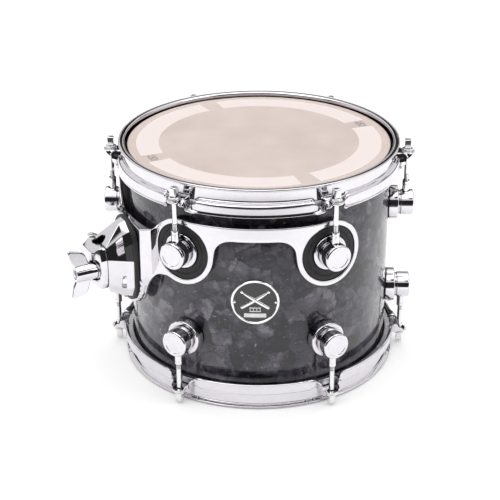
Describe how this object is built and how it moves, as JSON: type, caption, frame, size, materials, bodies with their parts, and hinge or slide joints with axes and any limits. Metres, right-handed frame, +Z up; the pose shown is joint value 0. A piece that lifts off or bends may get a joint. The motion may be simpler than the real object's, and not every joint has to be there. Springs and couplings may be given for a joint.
{
  "type": "tom tom drum",
  "caption": "Small double-headed tom drum with a pearl-wrapped shell, tension rods in round turret lugs, pressed hoops and a suspension plate with an arm clamp.",
  "frame": {"origin": "on the drum's axis in the plane of the lower hoop's rim, which the drum stands on", "axes": "+Z up the drum's axis to the batter head, -Y out through the badge, +X to the right seen from the badge"},
  "size_m": [0.3237, 0.2716, 0.2226],
  "materials": {
    "maple_shell": "clear-lacquered maple ply",
    "pearl_wrap": "black and grey pearl laminate, gloss",
    "head_film": "clear polyester film with a white coated band",
    "flesh_hoop": "satin aluminium channel",
    "hoop_chrome": "polished chrome on pressed steel",
    "lug_chrome": "polished chrome on die casting",
    "rod_steel": "chromed steel, fine thread",
    "washer_steel": "plated steel",
    "nut_brass": "plated tube nut",
    "screw_steel": "zinc-plated steel",
    "gasket_rubber": "black rubber",
    "isolator_rubber": "matte black rubber",
    "plate_chrome": "polished chrome on steel plate",
    "bracket_chrome": "polished chrome on die casting",
    "badge_metal": "black enamel face with a polished rim",
    "pin_steel": "plated steel",
    "vent_metal": "chromed eyelet"
  },
  "bodies": {
    "drum": {"shell": "maple_shell", "shell_wrap": "pearl_wrap", "vent_grommet": "vent_metal", "badge_plate": "badge_metal", "badge_pins": "pin_steel", "batter_head_film": "head_film", "batter_flesh_hoop": "flesh_hoop", "resonant_head_film": "head_film", "resonant_flesh_hoop": "flesh_hoop", "upper_lug_bases": "lug_chrome", "lower_lug_bases": "lug_chrome", "upper_lug_turrets": "lug_chrome", "lower_lug_turrets": "lug_chrome", "upper_tube_nuts": "nut_brass", "lower_tube_nuts": "nut_brass", "lug_screws": "screw_steel", "lug_screw_washers": "washer_steel", "lug_gaskets": "gasket_rubber", "rubber_isolators": "isolator_rubber", "mount_plate": "plate_chrome", "bracket_gasket": "isolator_rubber", "bracket_body": "bracket_chrome", "jaw_hinge_pin": "screw_steel", "clamp_bolt": "screw_steel", "bracket_bolts": "screw_steel"},
    "batter_hoop": {"batter_hoop": "hoop_chrome", "batter_rod_washers": "washer_steel"},
    "resonant_hoop": {"resonant_hoop": "hoop_chrome", "resonant_rod_washers": "washer_steel"},
    "clamp_jaw": {"clamp_jaw": "bracket_chrome"},
    "nut_washer": {"wing_nut_washer": "washer_steel"},
    "wing_nut": {"wing_nut": "bracket_chrome"},
    "batter_rod_1": {"batter_tension_rod_1": "rod_steel"},
    "resonant_rod_1": {"resonant_tension_rod_1": "rod_steel"},
    "batter_rod_2": {"batter_tension_rod_2": "rod_steel"},
    "resonant_rod_2": {"resonant_tension_rod_2": "rod_steel"},
    "batter_rod_3": {"batter_tension_rod_3": "rod_steel"},
    "resonant_rod_3": {"resonant_tension_rod_3": "rod_steel"},
    "batter_rod_4": {"batter_tension_rod_4": "rod_steel"},
    "resonant_rod_4": {"resonant_tension_rod_4": "rod_steel"},
    "batter_rod_5": {"batter_tension_rod_5": "rod_steel"},
    "resonant_rod_5": {"resonant_tension_rod_5": "rod_steel"},
    "batter_rod_6": {"batter_tension_rod_6": "rod_steel"},
    "resonant_rod_6": {"resonant_tension_rod_6": "rod_steel"}
  },
  "joints": [
    {"name": "batter_hoop_lift", "type": "slide", "parent": "drum", "child": "batter_hoop", "axis": [0, 0, 1], "range_m": [0, 0.004]},
    {"name": "resonant_hoop_drop", "type": "slide", "parent": "drum", "child": "resonant_hoop", "axis": [0, 0, -1], "range_m": [0, 0.004]},
    {"name": "batter_rod_1_spin", "type": "hinge", "parent": "batter_hoop", "child": "batter_rod_1", "pos_m": [-0.0714, 0.12367, 0.2106], "axis": [0, 0, 1], "range_deg": [0, 1800.1]},
    {"name": "resonant_rod_1_spin", "type": "hinge", "parent": "resonant_hoop", "child": "resonant_rod_1", "pos_m": [-0.0714, 0.12367, 0.012], "axis": [0, 0, -1], "range_deg": [0, 1800.1]},
    {"name": "batter_rod_2_spin", "type": "hinge", "parent": "batter_hoop", "child": "batter_rod_2", "pos_m": [-0.1428, 0, 0.2106], "axis": [0, 0, 1], "range_deg": [0, 1800.1]},
    {"name": "resonant_rod_2_spin", "type": "hinge", "parent": "resonant_hoop", "child": "resonant_rod_2", "pos_m": [-0.1428, 0, 0.012], "axis": [0, 0, -1], "range_deg": [0, 1800.1]},
    {"name": "batter_rod_3_spin", "type": "hinge", "parent": "batter_hoop", "child": "batter_rod_3", "pos_m": [-0.0714, -0.12367, 0.2106], "axis": [0, 0, 1], "range_deg": [0, 1800.1]},
    {"name": "resonant_rod_3_spin", "type": "hinge", "parent": "resonant_hoop", "child": "resonant_rod_3", "pos_m": [-0.0714, -0.12367, 0.012], "axis": [0, 0, -1], "range_deg": [0, 1800.1]},
    {"name": "batter_rod_4_spin", "type": "hinge", "parent": "batter_hoop", "child": "batter_rod_4", "pos_m": [0.0714, -0.12367, 0.2106], "axis": [0, 0, 1], "range_deg": [0, 1800.1]},
    {"name": "resonant_rod_4_spin", "type": "hinge", "parent": "resonant_hoop", "child": "resonant_rod_4", "pos_m": [0.0714, -0.12367, 0.012], "axis": [0, 0, -1], "range_deg": [0, 1800.1]},
    {"name": "batter_rod_5_spin", "type": "hinge", "parent": "batter_hoop", "child": "batter_rod_5", "pos_m": [0.1428, 0, 0.2106], "axis": [0, 0, 1], "range_deg": [0, 1800.1]},
    {"name": "resonant_rod_5_spin", "type": "hinge", "parent": "resonant_hoop", "child": "resonant_rod_5", "pos_m": [0.1428, 0, 0.012], "axis": [0, 0, -1], "range_deg": [0, 1800.1]},
    {"name": "batter_rod_6_spin", "type": "hinge", "parent": "batter_hoop", "child": "batter_rod_6", "pos_m": [0.0714, 0.12367, 0.2106], "axis": [0, 0, 1], "range_deg": [0, 1800.1]},
    {"name": "resonant_rod_6_spin", "type": "hinge", "parent": "resonant_hoop", "child": "resonant_rod_6", "pos_m": [0.0714, 0.12367, 0.012], "axis": [0, 0, -1], "range_deg": [0, 1800.1]},
    {"name": "nut_washer_slide", "type": "slide", "parent": "drum", "child": "nut_washer", "axis": [-0.866, -0.5, 0], "range_m": [0, 0.005]},
    {"name": "wing_nut_spin", "type": "hinge", "parent": "nut_washer", "child": "wing_nut", "pos_m": [-0.15446, -0.10246, 0.126], "axis": [-0.866, -0.5, 0], "range_deg": [0, 1440.1]},
    {"name": "clamp_jaw_hinge", "type": "hinge", "parent": "drum", "child": "clamp_jaw", "pos_m": [-0.15561, -0.06848, 0.128], "axis": [0, 0, -1], "range_deg": [0, 5.73]}
  ],
  "couplings": [
    {"joint": "batter_rod_1_spin", "follows": "batter_hoop_lift", "rad_per_m": 7854},
    {"joint": "resonant_rod_1_spin", "follows": "resonant_hoop_drop", "rad_per_m": 7854},
    {"joint": "batter_rod_2_spin", "follows": "batter_hoop_lift", "rad_per_m": 7854},
    {"joint": "resonant_rod_2_spin", "follows": "resonant_hoop_drop", "rad_per_m": 7854},
    {"joint": "batter_rod_3_spin", "follows": "batter_hoop_lift", "rad_per_m": 7854},
    {"joint": "resonant_rod_3_spin", "follows": "resonant_hoop_drop", "rad_per_m": 7854},
    {"joint": "batter_rod_4_spin", "follows": "batter_hoop_lift", "rad_per_m": 7854},
    {"joint": "resonant_rod_4_spin", "follows": "resonant_hoop_drop", "rad_per_m": 7854},
    {"joint": "batter_rod_5_spin", "follows": "batter_hoop_lift", "rad_per_m": 7854},
    {"joint": "resonant_rod_5_spin", "follows": "resonant_hoop_drop", "rad_per_m": 7854},
    {"joint": "batter_rod_6_spin", "follows": "batter_hoop_lift", "rad_per_m": 7854},
    {"joint": "resonant_rod_6_spin", "follows": "resonant_hoop_drop", "rad_per_m": 7854},
    {"joint": "wing_nut_spin", "follows": "nut_washer_slide", "rad_per_m": 5026.5},
    {"joint": "clamp_jaw_hinge", "follows": "nut_washer_slide", "rad_per_m": 20}
  ]
}
